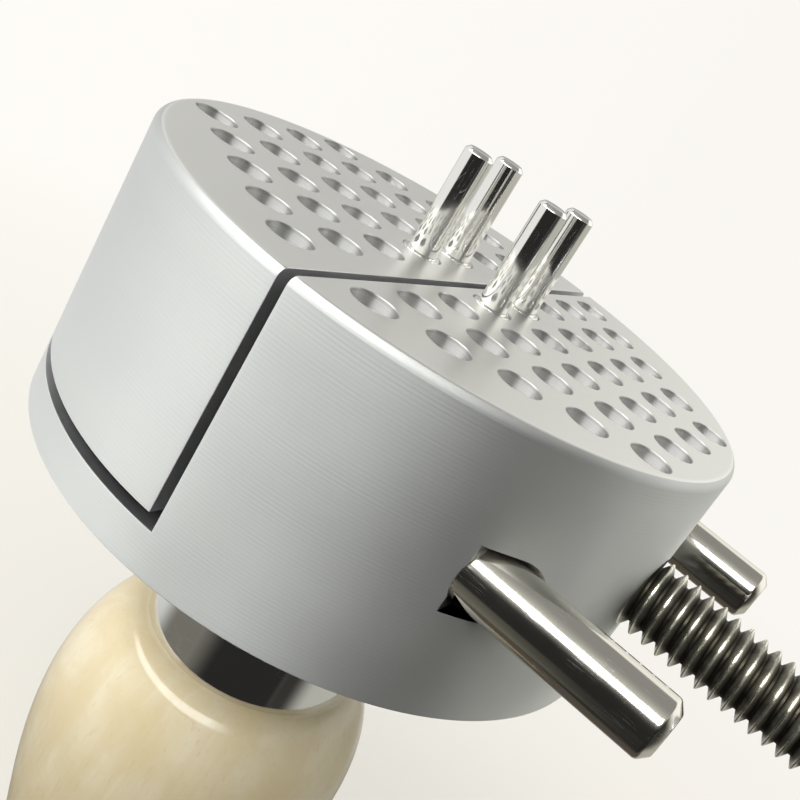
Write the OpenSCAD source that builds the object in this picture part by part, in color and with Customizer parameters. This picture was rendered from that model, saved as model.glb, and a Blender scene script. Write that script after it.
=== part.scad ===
// Hand vise with a round split head, pin holes in both jaws and a turned wooden handle.
// The origin is in the work face, midway between the jaws' first rows of holes. +Z points up out of
// the work face, +X towards the knob and +Y along the split. Sizes are in millimetres.

/* [Head] */
// Diameter of the round head
head_d = 50.8; // [48:0.1:56]
// Height of the head, from the base plate's underside to the work face
head_h = 22.4; // [21:0.1:26]
// Thickness of the round base plate, which is one piece with the fixed jaw
base_t = 3.3; // [2.6:0.1:3.6]
// Gap between the base plate and the moving jaw
base_gap = 0.95; // [0.5:0.1:1.6]
// Gap between the two jaws with the vise as it is shown
split_gap = 0.75; // [0.7:0.05:1.6]
// Distance of the split's middle from the origin, towards the knob
split_x = 0.75; // [0:0.05:0.9]
// Bevel around the top rim of the head
rim_bevel = 0.7; // [0.3:0.1:1]
// Bevel around the bottom rim of the base plate
foot_bevel = 0.15; // [0.1:0.05:1]

/* [Pin holes] */
// Distance from the origin to each jaw's first row of holes
first_row = 3.63; // [3.2:0.01:4]
// Distance between neighbouring rows
row_pitch = 4.37; // [4:0.01:5]
// Distance between neighbouring holes in a row
hole_pitch = 5.66; // [5:0.01:6.6]
// Depth of the blind pin holes
hole_depth = 7.2; // [5:0.1:7.4]
// Least distance from a hole's centre to the side of the head
rim_margin = 2.5; // [2.5:0.1:4]

/* [Work pins] */
// Diameter of a pin's shank, which stands in its hole
pin_shank_d = 3.175; // [2.8:0.005:3.3]
// Diameter of a pin's tip, which holds the work
pin_tip_d = 2.38; // [1.8:0.01:2.6]
// Height of a pin's tip above the work face
pin_stand = 8.8; // [5:0.1:12]
// Bevel at both ends of a pin
pin_bevel = 0.35; // [0.1:0.05:0.5]
// Radial clearance of a pin in its hole
pin_clearance = 0.06; // [0.03:0.005:0.1]

/* [Guide rods] */
// Diameter of a guide rod
rod_d = 4.76; // [4:0.01:5.2]
// Distance from the side of the head to a rod's axis
rod_inset = 9.2; // [8.8:0.05:10.4]
// Depth of the rods and the screw below the work face
axis_drop = 11.1; // [10.8:0.05:12.2]
// Distance from the origin to the rear rod's free end
rod_reach = 32.4; // [30:0.1:38]
// How much further the front rod reaches than the rear one
front_rod_extra = 0.9; // [0:0.1:2]
// Distance from the origin to a rod's end in the moving jaw
rod_seat = 15; // [12:0.1:17]
// Bevel at the free end of a rod
rod_bevel = 0.7; // [0.2:0.1:0.8]
// Radial clearance of what turns or slides
slide_clearance = 0.05; // [0.02:0.01:0.1]
// Width of the open pocket where a rod leaves the fixed jaw
mouth_w = 5.5; // [5.5:0.1:6.4]
// Distance from the origin to the pocket's flat floor
mouth_x = 17.4; // [16.6:0.1:18.4]
// Bevel of the rod's bore at the pocket's floor
mouth_bevel = 0.3; // [0.1:0.05:0.5]

/* [Lead screw] */
// Outside diameter of the thread
screw_d = 6.35; // [5.5:0.05:7]
// Pitch of the thread
thread_pitch = 1.27; // [1:0.01:1.6]
// Distance from the origin to the knob
knob_reach = 50; // [46:0.1:60]
// Diameter of the plain journal that turns in the moving jaw
journal_d = 4.6; // [4.4:0.05:4.8]
// Distance from the origin to the journal's end
journal_l = 12.5; // [11:0.1:16]
// Distance from the origin to the groove's middle
groove_x = 8; // [6:0.1:9]
// Diameter at the bottom of the journal's groove
groove_d = 2.8; // [2.4:0.05:3.2]
// Diameter of the pins that sit in the groove
keeper_d = 1.8; // [1.4:0.05:2]
// Length of a keeper pin above the screw's axis
keeper_rise = 2.2; // [1.6:0.1:2.6]
// Clearance of the keeper pins in the groove
keeper_clearance = 0.08; // [0.04:0.01:0.15]

/* [Set screws] */
// Diameter of the screws that lock the rods
rod_lock_d = 4; // [3:0.1:4.5]
// Distance from the origin to those screws
rod_lock_x = 8; // [6:0.1:11]
// Depth of those screws below the moving jaw's underside
rod_lock_inset = 0.5; // [0.2:0.1:0.8]
// Size across the flats of their sockets
rod_lock_socket = 2; // [1.5:0.1:2.2]
// Depth of their sockets
rod_lock_socket_l = 1.5; // [1:0.1:1.8]

/* [Knob] */
// Diameter of the knob's grip
knob_d = 18; // [14:0.1:20]
// Length of the grip
knob_l = 9; // [6:0.1:14]
// Diameter of the knob's hub
hub_d = 11; // [10:0.1:12]
// Length of the hub
hub_l = 5; // [4.5:0.1:8]
// Bevel on the knob's edges
knob_bevel = 0.8; // [0.4:0.1:1.2]
// Diameter of the screw's spigot inside the knob
spigot_d = 4.8; // [4:0.1:5]
// Length of the spigot
spigot_l = 11; // [8:0.1:12]
// Diameter of the set screw in the hub
hub_screw_d = 3; // [2:0.1:3.5]
// Size across the flats of the hub set screw's socket
hub_screw_socket = 1.5; // [1:0.1:1.6]
// Depth of the hub set screw's socket
hub_screw_socket_l = 1.2; // [0.8:0.1:1.4]

/* [Ferrule] */
// Outside diameter of the ferrule
ferrule_d = 19.4; // [18:0.1:21]
// Length of the ferrule
ferrule_l = 16.2; // [14:0.1:20]
// Wall of the ferrule
ferrule_wall = 1.9; // [1.5:0.1:2.2]
// Thickness of the ferrule's closed top
ferrule_top_t = 5; // [4.5:0.1:6]
// Diameter of the plate screws
plate_screw_d = 3; // [2.5:0.1:3.2]
// Head diameter of the plate screws
plate_screw_head_d = 5.6; // [5:0.1:6]
// Distance of the plate screws from the origin
plate_screw_x = 4.6; // [4:0.1:4.8]
// Distance between the two plate screws
plate_screw_spacing = 9; // [8:0.1:9.4]
// Depth of a plate screw in the ferrule
plate_screw_grip = 4; // [3:0.1:4.3]
// Width of a plate screw's slot
plate_slot_w = 0.8; // [0.5:0.05:1]
// Depth of a plate screw's slot
plate_slot_h = 0.7; // [0.4:0.05:0.9]

/* [Handle] */
// Length of the wood below the ferrule
handle_l = 92; // [70:1:110]
// Diameter of the wood where it meets the ferrule
neck_d = 19.4; // [18.6:0.1:22]
// Diameter of the shoulder
shoulder_d = 28.8; // [26:0.1:34]
// Distance from the ferrule to the widest part of the shoulder
shoulder_drop = 11.4; // [7:0.1:14]
// Diameter of the waist
waist_d = 21.6; // [20:0.1:26]
// Distance from the ferrule to the waist
waist_drop = 38.4; // [34:0.1:48]
// Diameter of the butt
butt_d = 28; // [24:0.1:34]
// Distance from the handle's end to the widest part of the butt
butt_rise = 14; // [8:0.1:20]
// Flat at the handle's end
butt_flat_d = 8; // [4:0.1:12]
// Diameter of the stud that joins ferrule and wood
stud_d = 5; // [4:0.1:6]
// Length of the stud in the wood
stud_l = 32; // [20:1:40]
// Clearance between pieces that are fixed together
seat_clearance = 0.03; // [0.02:0.01:0.05]
// Gap above the wood inside the ferrule
tenon_gap = 0.3; // [0.2:0.05:0.6]

/* [Hidden] */

$fn = 96;
head_r = head_d / 2;
moving_face_x = split_x - split_gap / 2;
fixed_face_x = split_x + split_gap / 2;
plate_top = -(head_h - base_t);
jaw_bottom = plate_top + base_gap;
past = 1;

hole_r = pin_shank_d / 2 + pin_clearance;
hole_zone_r = head_r - rim_margin;
row_count = floor((hole_zone_r - first_row) / row_pitch) + 1;

rod_r = rod_d / 2;
rod_bore_r = rod_r + slide_clearance;
rod_y = head_r - rod_inset;

screw_r = screw_d / 2;
// A 60 degree thread with flats of an eighth of the pitch is this deep
thread_depth = 0.6134 * thread_pitch;
root_r = screw_r - thread_depth;
journal_r = journal_d / 2;
groove_w = keeper_d + 2 * keeper_clearance;
keeper_y = (groove_d + keeper_d) / 2 + keeper_clearance;
turns = floor(knob_reach / thread_pitch);

rod_lock_top = -axis_drop - rod_r;
rod_lock_bottom = jaw_bottom + rod_lock_inset;
hub_screw_x = knob_reach + hub_l / 2;
hub_screw_bottom = -axis_drop + spigot_d / 2;
hub_screw_top = -axis_drop + hub_d / 2 - seat_clearance;

ferrule_r = ferrule_d / 2;
socket_r = ferrule_r - ferrule_wall;
ferrule_top = -head_h;
ferrule_bottom = ferrule_top - ferrule_l;
tenon_top = ferrule_top - ferrule_top_t - tenon_gap;
handle_end = ferrule_bottom - handle_l;
shoulder_z = ferrule_bottom - shoulder_drop;
waist_z = ferrule_bottom - waist_drop;
butt_z = handle_end + butt_rise;
curve_steps = 12;

// A cylinder along X from x0 to x1, at the height of the rods and the screw
module along_x(x0, x1, r, y = 0) {
    translate([x0, y, -axis_drop]) rotate([0, 90, 0]) cylinder(h = x1 - x0, r = r);
}

// A turned solid along X from a profile of [radius, x] points
module turned_along_x(profile) {
    translate([0, 0, -axis_drop]) rotate([0, 90, 0]) rotate_extrude() polygon(profile);
}

// The round head before it is split
module head_blank() {
    rotate_extrude() polygon([
        [0, 0],
        [head_r - rim_bevel, 0],
        [head_r, -rim_bevel],
        [head_r, -head_h + foot_bevel],
        [head_r - foot_bevel, -head_h],
        [0, -head_h]
    ]);
}

// Blind pin holes on one side of the split. Every second row is offset by half a pitch,
// and a row holds as many holes as lie inside the rim margin.
module pin_holes(side) {
    for (row = [0 : row_count - 1]) {
        x = first_row + row * row_pitch;
        reach = sqrt(hole_zone_r * hole_zone_r - x * x);
        start = (row % 2 == 0) ? hole_pitch / 2 : 0;
        for (y = [start : hole_pitch : reach]) {
            for (s = (y == 0) ? [1] : [-1, 1]) {
                translate([side * x, s * y, -hole_depth]) cylinder(h = hole_depth + past, r = hole_r);
            }
        }
    }
}

// A countersunk hole or screw body, with its head flush with the base plate's top
module countersunk(shank_r, head_r_top, tail) {
    sink = head_r_top - shank_r;
    translate([0, 0, plate_top]) rotate_extrude() polygon([
        [0, 0],
        [head_r_top, 0],
        [shank_r, -sink],
        [shank_r, -tail],
        [0, -tail]
    ]);
}

module at_plate_screws() {
    for (s = [-1, 1]) {
        translate([-plate_screw_x, s * plate_screw_spacing / 2, 0]) children();
    }
}

module at_rods() {
    for (s = [-1, 1]) {
        translate([0, s * rod_y, 0]) children();
    }
}

// Pocket where a rod leaves the fixed jaw: open to the side, round on the inside, with a flat floor
module rod_mouth(side) {
    translate([0, side * rod_y, 0]) {
        along_x(mouth_x, head_r + past, mouth_w / 2);
        translate([0, 0, -axis_drop]) rotate([0, 90, 0]) translate([0, 0, mouth_x - mouth_bevel])
            cylinder(h = mouth_bevel, r1 = rod_bore_r, r2 = rod_bore_r + mouth_bevel);
        translate([mouth_x, side > 0 ? 0 : -head_r, -axis_drop - mouth_w / 2])
            cube([head_r, head_r, mouth_w]);
    }
}

module fixed_jaw() {
    color("lightsteelblue") difference() {
        head_blank();
        translate([fixed_face_x - head_d, -head_d, plate_top]) cube([head_d, 2 * head_d, head_h]);
        pin_holes(1);
        at_rods() along_x(-head_r, head_r, rod_bore_r);
        for (side = [-1, 1]) rod_mouth(side);
        along_x(0, head_r + past, screw_r + slide_clearance);
        at_plate_screws() translate([0, 0, past])
            countersunk(plate_screw_d / 2, plate_screw_head_d / 2 + past, base_t + 2 * past);
    }
}

module moving_jaw() {
    color("lightsteelblue") difference() {
        intersection() {
            head_blank();
            translate([moving_face_x - head_d, -head_d, jaw_bottom])
                cube([head_d, 2 * head_d, head_h]);
        }
        pin_holes(-1);
        at_rods() along_x(-rod_seat, past, rod_r + seat_clearance);
        along_x(-journal_l - slide_clearance, past, journal_r + slide_clearance);
        for (s = [-1, 1]) {
            translate([-groove_x, s * keeper_y, jaw_bottom - past])
                cylinder(h = keeper_rise - axis_drop - jaw_bottom + past, r = keeper_d / 2 + seat_clearance);
        }
        at_rods() translate([-rod_lock_x, 0, jaw_bottom - past])
            cylinder(h = rod_lock_top - jaw_bottom + past, r = rod_lock_d / 2 + seat_clearance);
    }
}

// One guide rod, from its blind end in the moving jaw to its bevelled free end
module guide_rod(side, reach) {
    color("gainsboro") translate([0, side * rod_y, 0]) turned_along_x([
        [0, -rod_seat],
        [rod_r, -rod_seat],
        [rod_r, reach - rod_bevel],
        [rod_r - rod_bevel, reach],
        [0, reach]
    ]);
}

module guide_rod_front() {
    guide_rod(-1, rod_reach + front_rod_extra);
}

module guide_rod_rear() {
    guide_rod(1, rod_reach);
}

// Socket set screws that press up against the rods from the moving jaw's underside
module rod_set_screws() {
    color("dimgray") at_rods() translate([-rod_lock_x, 0, 0]) difference() {
        translate([0, 0, rod_lock_bottom])
            cylinder(h = rod_lock_top - rod_lock_bottom - seat_clearance, r = rod_lock_d / 2);
        translate([0, 0, rod_lock_bottom - past])
            cylinder(h = rod_lock_socket_l + past, d = rod_lock_socket / cos(30), $fn = 6);
    }
}

// Lead screw: grooved journal, thread ridges and the spigot for the knob, turned in one piece. The first
// ridge starts a pitch from the origin, clear of the moving jaw.
module lead_screw() {
    crest = thread_pitch / 8;
    flank = (thread_pitch - 2 * crest) / 2;
    color("silver") turned_along_x(concat(
        [
            [0, -journal_l],
            [journal_r, -journal_l],
            [journal_r, -groove_x - groove_w / 2],
            [groove_d / 2, -groove_x - groove_w / 2],
            [groove_d / 2, -groove_x + groove_w / 2],
            [journal_r, -groove_x + groove_w / 2],
            [journal_r, thread_pitch]
        ],
        [for (i = [1 : turns - 1], p = [[0, 0], [0, crest], [1, crest + flank], [1, 2 * crest + flank]])
            [root_r + p[0] * thread_depth, i * thread_pitch + p[1]]],
        [
            [root_r, turns * thread_pitch],
            [root_r, knob_reach],
            [spigot_d / 2, knob_reach],
            [spigot_d / 2, knob_reach + spigot_l],
            [0, knob_reach + spigot_l]
        ]
    ));
}

// Pins that stand upright in the moving jaw and run in the journal's groove
module keeper_pins() {
    color("gray") for (s = [-1, 1]) {
        translate([-groove_x, s * keeper_y, jaw_bottom])
            cylinder(h = keeper_rise - axis_drop - jaw_bottom, r = keeper_d / 2);
    }
}

module screw_knob() {
    hub_r = hub_d / 2;
    knob_r = knob_d / 2;
    bore_r = spigot_d / 2 + seat_clearance;
    grip_x = knob_reach + hub_l;
    end_x = grip_x + knob_l;
    bore_end = knob_reach + spigot_l + seat_clearance;
    color("silver") difference() {
        turned_along_x([
            [bore_r, knob_reach],
            [hub_r, knob_reach],
            [hub_r, grip_x],
            [knob_r - knob_bevel, grip_x],
            [knob_r, grip_x + knob_bevel],
            [knob_r, end_x - knob_bevel],
            [knob_r - knob_bevel, end_x],
            [0, end_x],
            [0, bore_end],
            [bore_r, bore_end]
        ]);
        translate([hub_screw_x, 0, hub_screw_bottom])
            cylinder(h = hub_d, r = hub_screw_d / 2 + seat_clearance);
    }
}

module knob_set_screw() {
    color("dimgray") translate([hub_screw_x, 0, 0]) difference() {
        translate([0, 0, hub_screw_bottom + seat_clearance])
            cylinder(h = hub_screw_top - hub_screw_bottom - 2 * seat_clearance, r = hub_screw_d / 2);
        translate([0, 0, hub_screw_top - seat_clearance - hub_screw_socket_l])
            cylinder(h = hub_screw_socket_l + past, d = hub_screw_socket / cos(30), $fn = 6);
    }
}

// A stepped pin in the first row: shank in the hole, shoulder level with the work face, tip above it
module work_pin(side_x, side_y) {
    shank_r = pin_shank_d / 2;
    tip_r = pin_tip_d / 2;
    color("whitesmoke") translate([side_x * first_row, side_y * hole_pitch / 2, 0])
        rotate_extrude() polygon([
            [0, -hole_depth],
            [shank_r - pin_bevel, -hole_depth],
            [shank_r, -hole_depth + pin_bevel],
            [shank_r, 0],
            [tip_r, 0],
            [tip_r, pin_stand - pin_bevel],
            [tip_r - pin_bevel, pin_stand],
            [0, pin_stand]
        ]);
}

module work_pin_moving_front() {
    work_pin(-1, -1);
}

module work_pin_moving_rear() {
    work_pin(-1, 1);
}

module work_pin_fixed_front() {
    work_pin(1, -1);
}

module work_pin_fixed_rear() {
    work_pin(1, 1);
}

// Steel cup that stands the head on the handle
module ferrule() {
    color("silver") difference() {
        translate([0, 0, ferrule_bottom]) cylinder(h = ferrule_l, r = ferrule_r);
        translate([0, 0, ferrule_bottom - past])
            cylinder(h = ferrule_l - ferrule_top_t + past, r = socket_r);
        translate([0, 0, ferrule_bottom]) cylinder(h = ferrule_l + past, r = stud_d / 2 + seat_clearance);
        at_plate_screws() translate([0, 0, ferrule_top - plate_screw_grip - seat_clearance])
            cylinder(h = ferrule_l, r = plate_screw_d / 2 + seat_clearance);
    }
}

// Countersunk screws from the base plate down into the ferrule
module plate_screws() {
    color("dimgray") at_plate_screws() difference() {
        countersunk(plate_screw_d / 2 - seat_clearance, plate_screw_head_d / 2 - seat_clearance,
            base_t + plate_screw_grip);
        translate([-plate_screw_head_d, -plate_slot_w / 2, plate_top - plate_slot_h])
            cube([2 * plate_screw_head_d, plate_slot_w, plate_slot_h + past]);
    }
}

module handle_stud() {
    color("darkgray") translate([0, 0, tenon_top - stud_l])
        cylinder(h = ferrule_top - tenon_top + stud_l - seat_clearance, r = stud_d / 2);
}

// Radius on a smooth swell from r0 to r1, with t running from 0 to 1
function swell(r0, r1, t) = r0 + (r1 - r0) * (1 - cos(180 * t)) / 2;

// Half outline of the wood below the ferrule, as [radius, z] points from top to bottom
function handle_outline() = concat(
    [for (i = [0 : curve_steps]) let (a = 90 * i / curve_steps)
        [neck_d / 2 + (shoulder_d - neck_d) / 2 * sin(a), shoulder_z + shoulder_drop * cos(a)]],
    [for (i = [1 : curve_steps]) let (t = i / curve_steps)
        [swell(shoulder_d / 2, waist_d / 2, t), shoulder_z + (waist_z - shoulder_z) * t]],
    [for (i = [1 : curve_steps]) let (t = i / curve_steps)
        [swell(waist_d / 2, butt_d / 2, t), waist_z + (butt_z - waist_z) * t]],
    [for (i = [1 : curve_steps]) let (a = 90 * i / curve_steps)
        [butt_flat_d / 2 + (butt_d - butt_flat_d) / 2 * cos(a), butt_z - butt_rise * sin(a)]]
);

// Turned wood with a tenon inside the ferrule
module handle() {
    tenon_r = socket_r - seat_clearance;
    stud_bore_r = stud_d / 2 + seat_clearance;
    bore_end = tenon_top - stud_l - seat_clearance;
    color("burlywood") rotate_extrude() polygon(concat(
        [
            [0, bore_end],
            [stud_bore_r, bore_end],
            [stud_bore_r, tenon_top],
            [tenon_r, tenon_top],
            [tenon_r, ferrule_bottom]
        ],
        handle_outline(),
        [[0, handle_end]]
    ));
}

fixed_jaw();
moving_jaw();
guide_rod_front();
guide_rod_rear();
rod_set_screws();
lead_screw();
keeper_pins();
screw_knob();
knob_set_screw();
work_pin_moving_front();
work_pin_moving_rear();
work_pin_fixed_front();
work_pin_fixed_rear();
ferrule();
plate_screws();
handle_stud();
handle();
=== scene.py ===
import math

import bmesh
import bpy
from mathutils import Matrix, Vector


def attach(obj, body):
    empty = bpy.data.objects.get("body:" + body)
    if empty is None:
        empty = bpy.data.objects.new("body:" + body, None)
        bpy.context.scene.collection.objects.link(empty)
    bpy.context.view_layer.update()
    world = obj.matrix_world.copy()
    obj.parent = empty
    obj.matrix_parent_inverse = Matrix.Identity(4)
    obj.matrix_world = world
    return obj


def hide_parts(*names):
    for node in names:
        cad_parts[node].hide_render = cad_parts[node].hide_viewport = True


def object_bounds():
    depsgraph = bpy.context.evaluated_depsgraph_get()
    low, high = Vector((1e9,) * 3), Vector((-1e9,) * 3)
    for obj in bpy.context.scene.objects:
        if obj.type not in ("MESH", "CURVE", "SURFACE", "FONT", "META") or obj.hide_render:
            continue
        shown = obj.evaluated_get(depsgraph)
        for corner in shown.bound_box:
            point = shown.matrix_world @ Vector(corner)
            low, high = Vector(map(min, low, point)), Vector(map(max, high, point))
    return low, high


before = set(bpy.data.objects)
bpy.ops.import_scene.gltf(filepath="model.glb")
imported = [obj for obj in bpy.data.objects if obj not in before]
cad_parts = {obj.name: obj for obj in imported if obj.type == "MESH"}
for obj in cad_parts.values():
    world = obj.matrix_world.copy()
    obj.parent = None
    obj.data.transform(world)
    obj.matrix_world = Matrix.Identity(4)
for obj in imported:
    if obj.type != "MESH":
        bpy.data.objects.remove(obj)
cadLow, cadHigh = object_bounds()
scene = bpy.context.scene
mm = 0.001  # sizes and depths in the dictionaries are millimetres
weld = 1e-7  # vertices nearer to each other than this, in metres, become one
fullTurn = 2 * math.pi
axisHeight = -11.1  # the rods and the screw lie this far below the work face
print("frame loaded:", len(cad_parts), "nodes")

# the camera stands low on the knob's side and is rolled, so the vise leans to the left
photoCamera = {
    "place": (31.80679, -75.85001, 18.43775),
    "turn": (66.70194281, -32.58755821, 26.28907836),
    "lens": 47.25034,
    "sensorWidth": 36,
    "shift": (-0.18125, 0.1),
    "near": 1.0,
}


def setCamera():
    data = bpy.data.cameras.new("photoCamera")
    data.lens = photoCamera["lens"]
    data.sensor_width = photoCamera["sensorWidth"]
    data.shift_x, data.shift_y = photoCamera["shift"]
    data.clip_start = photoCamera["near"] * mm
    camera = bpy.data.objects.new("photoCamera", data)
    camera.location = Vector(photoCamera["place"]) * mm
    camera.rotation_euler = [math.radians(a) for a in photoCamera["turn"]]
    scene.collection.objects.link(camera)
    scene.camera = camera
    scene.view_settings.view_transform = "Standard"


setCamera()
print("camera set")


# gives a socket a plain value, or a link where the value is another node's socket
def plug(tree, socket, value):
    if isinstance(value, bpy.types.NodeSocket):
        tree.links.new(value, socket)
    else:
        socket.default_value = value


# makes one node, sets its options, then its inputs
def addNode(tree, kind, inputs=None, **options):
    node = tree.nodes.new(kind)
    for key, value in options.items():
        setattr(node, key, value)
    for key, value in (inputs or {}).items():
        plug(tree, node.inputs[key], value)
    return node


def calc(tree, operation, *values):
    node = addNode(tree, "ShaderNodeMath", dict(enumerate(values)), operation=operation)
    return node.outputs[0]


def vectorCalc(tree, operation, *values):
    node = addNode(tree, "ShaderNodeVectorMath", dict(enumerate(values)), operation=operation)
    return node.outputs["Value" if operation in ("LENGTH", "DOT_PRODUCT") else "Vector"]


def remap(tree, value, fromLow, fromHigh, toLow=0.0, toHigh=1.0):
    node = addNode(tree, "ShaderNodeMapRange", {
        "Value": value, "From Min": fromLow, "From Max": fromHigh, "To Min": toLow, "To Max": toHigh})
    return node.outputs["Result"]


def blendColour(tree, share, low, high):
    node = addNode(tree, "ShaderNodeMix", {0: share, 6: low, 7: high}, data_type="RGBA")
    return node.outputs[2]


def blendShaders(tree, share, first, second):
    return addNode(tree, "ShaderNodeMixShader", {0: share, 1: first, 2: second}).outputs[0]


def splitPoint(tree, point):
    return addNode(tree, "ShaderNodeSeparateXYZ", {0: point}).outputs


def joinPoint(tree, x=0.0, y=0.0, z=0.0):
    return addNode(tree, "ShaderNodeCombineXYZ", {0: x, 1: y, 2: z}).outputs[0]


# distance from an axis, from the two measures across it
def awayFrom(tree, first, second):
    return vectorCalc(tree, "LENGTH", joinPoint(tree, first, second))


def noise(tree, point, scale, detail, distortion=0.0):
    node = addNode(tree, "ShaderNodeTexNoise", {
        "Vector": point, "Scale": scale, "Detail": detail, "Distortion": distortion})
    return node.outputs["Fac"]


# a noise that changes along one measure only, for rings and bands
def noiseAlong(tree, measure, scale, detail):
    node = addNode(tree, "ShaderNodeTexNoise", {"W": measure, "Scale": scale, "Detail": detail},
                   noise_dimensions="1D")
    return node.outputs["Fac"]


noiseSpan = (0.3, 0.7)  # nearly all of a noise's values lie between these


def newGroup(name, inputs, outputs):
    group = bpy.data.node_groups.new(name, "ShaderNodeTree")
    for label, kind, value in inputs:
        socket = group.interface.new_socket(name=label, in_out="INPUT", socket_type="NodeSocket" + kind)
        if value is not None:
            socket.default_value = value
    for label, kind in outputs:
        group.interface.new_socket(name=label, in_out="OUTPUT", socket_type="NodeSocket" + kind)
    source = group.nodes.new("NodeGroupInput")
    sink = group.nodes.new("NodeGroupOutput")
    return group, source.outputs, sink.inputs


# places a group in a material; its inputs are given by name with a small first letter
def place(tree, group, **inputs):
    node = tree.nodes.new("ShaderNodeGroup")
    node.node_tree = group
    for label, value in inputs.items():
        plug(tree, node.inputs[label[0].upper() + label[1:]], value)
    return node.outputs


turning = {"lineShare": 0.25, "roughScale": 3.1, "bandScale": 0.05, "breakScale": 0.25, "detail": 2.0}


# tool marks of a turned surface: rings round Z that also run as circles over a flat face
def makeToolMarks():
    group, given, out = newGroup(
        "toolMarks", [("Vector", "Vector", None), ("Pitch", "Float", 0.2), ("Breaks", "Float", 0.3)],
        [("Height", "Float"), ("Bands", "Float")])
    x, y, z = splitPoint(group, given["Vector"])
    step = calc(group, "DIVIDE", calc(group, "ADD", awayFrom(group, x, y), z), given["Pitch"])
    feedLines = calc(group, "SINE", calc(group, "MULTIPLY", step, fullTurn))
    rough = noiseAlong(group, step, turning["roughScale"], turning["detail"])
    fine = calc(group, "ADD", calc(group, "MULTIPLY", feedLines, turning["lineShare"]), rough)
    broken = noise(group, given["Vector"], turning["breakScale"], turning["detail"])
    kept = calc(group, "SUBTRACT", 1.0, calc(group, "MULTIPLY", broken, given["Breaks"]))
    wide = noiseAlong(group, step, turning["bandScale"], turning["detail"])
    group.links.new(calc(group, "MULTIPLY", fine, kept), out["Height"])
    group.links.new(wide, out["Bands"])
    return group


touch = {"detail": 4.0, "speckScale": 9.0, "speckDetail": 3.0, "specks": (0.66, 0.74)}


# a soft cloudiness for handled metal, as a factor round 1, and a mask of small specks
def makeHandling():
    group, given, out = newGroup(
        "handling", [("Vector", "Vector", None), ("Size", "Float", 6.0), ("Amount", "Float", 0.2)],
        [("Factor", "Float"), ("Specks", "Float")])
    scaled = addNode(group, "ShaderNodeVectorMath", {
        0: given["Vector"], "Scale": calc(group, "DIVIDE", 1.0, given["Size"])}, operation="SCALE")
    cloud = noise(group, scaled.outputs[0], 1.0, touch["detail"])
    low = calc(group, "SUBTRACT", 1.0, given["Amount"])
    high = calc(group, "ADD", 1.0, given["Amount"])
    specks = noise(group, given["Vector"], touch["speckScale"], touch["speckDetail"])
    group.links.new(remap(group, cloud, *noiseSpan, low, high), out["Factor"])
    group.links.new(remap(group, specks, *touch["specks"]), out["Specks"])
    return group


# rubbed edges: the mask rises where the surface turns within the given reach
def makeEdgeWear():
    group, given, out = newGroup(
        "edgeWear", [("Reach", "Float", 0.0002), ("Gain", "Float", 3.0)], [("Mask", "Float")])
    rounded = addNode(group, "ShaderNodeBevel", {"Radius": given["Reach"]}, samples=4)
    surface = addNode(group, "ShaderNodeNewGeometry")
    likeness = vectorCalc(group, "DOT_PRODUCT", rounded.outputs[0], surface.outputs["Normal"])
    bend = calc(group, "SUBTRACT", 1.0, likeness)
    mask = addNode(group, "ShaderNodeMath", {0: bend, 1: given["Gain"]}, operation="MULTIPLY",
                   use_clamp=True)
    group.links.new(mask.outputs[0], out["Mask"])
    return group


drawing = {
    "detail": 3.0, "scratchScale": 0.35, "scratchWidth": 0.012, "areaScale": 0.5, "areaDetail": 1.0,
    "areas": (0.5, 0.62),
}


# fine drawn lines along one direction of the given vector, for rods and pins, with a few scratches
def makeDrawnLines():
    group, given, out = newGroup(
        "drawnLines", [("Vector", "Vector", None), ("Stretch", "Vector", (1.0, 1.0, 1.0))],
        [("Height", "Float"), ("Scratch", "Float")])
    scaled = vectorCalc(group, "MULTIPLY", given["Vector"], given["Stretch"])
    lines = noise(group, scaled, 1.0, drawing["detail"])
    cells = addNode(group, "ShaderNodeTexVoronoi", {
        "Vector": scaled, "Scale": drawing["scratchScale"], "Randomness": 1.0}, feature="DISTANCE_TO_EDGE")
    thin = remap(group, cells.outputs["Distance"], 0.0, drawing["scratchWidth"], 1.0, 0.0)
    where = noise(group, given["Vector"], drawing["areaScale"], drawing["areaDetail"])
    some = remap(group, where, *drawing["areas"])
    group.links.new(lines, out["Height"])
    group.links.new(calc(group, "MULTIPLY", thin, some), out["Scratch"])
    return group


toolMarks = makeToolMarks()
handling = makeHandling()
edgeWear = makeEdgeWear()
drawnLines = makeDrawnLines()
print("shader groups made")


# gives the shader's inputs by name, with _ for a space
def feed(tree, shader, **inputs):
    for label, value in inputs.items():
        plug(tree, shader.inputs[label.replace("_", " ")], value)


# a new material with its shader and the surface's point in millimetres
def newMaterial(name, **constants):
    material = bpy.data.materials.new(name)
    material.use_nodes = True
    tree = material.node_tree
    shader = tree.nodes["Principled BSDF"]
    feed(tree, shader, **constants)
    points = addNode(tree, "ShaderNodeTexCoord")
    millimetres = addNode(tree, "ShaderNodeVectorMath", {0: points.outputs["Object"], "Scale": 1 / mm},
                          operation="SCALE")
    return material, tree, shader, millimetres.outputs[0]


# the direction across the tool marks, which a turned surface spreads its highlights along
def acrossMarks(tree, point):
    surface = addNode(tree, "ShaderNodeNewGeometry")
    parts = splitPoint(tree, point)
    around = joinPoint(tree, calc(tree, "MULTIPLY", parts["Y"], -1.0), parts["X"])
    across = vectorCalc(tree, "CROSS_PRODUCT", surface.outputs["Normal"], around)
    return vectorCalc(tree, "NORMALIZE", across)


def bumpFrom(tree, height, depth, strength=1.0):
    node = addNode(tree, "ShaderNodeBump", {"Height": height, "Strength": strength, "Distance": depth * mm})
    return node.outputs["Normal"]


def cloudOn(tree, point, look):
    return place(tree, handling, vector=point, size=look["cloudSize"], amount=look["cloud"])


def wearOn(tree, look):
    return place(tree, edgeWear, reach=look["wearReach"] * mm, gain=look["wearGain"])["Mask"]


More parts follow.
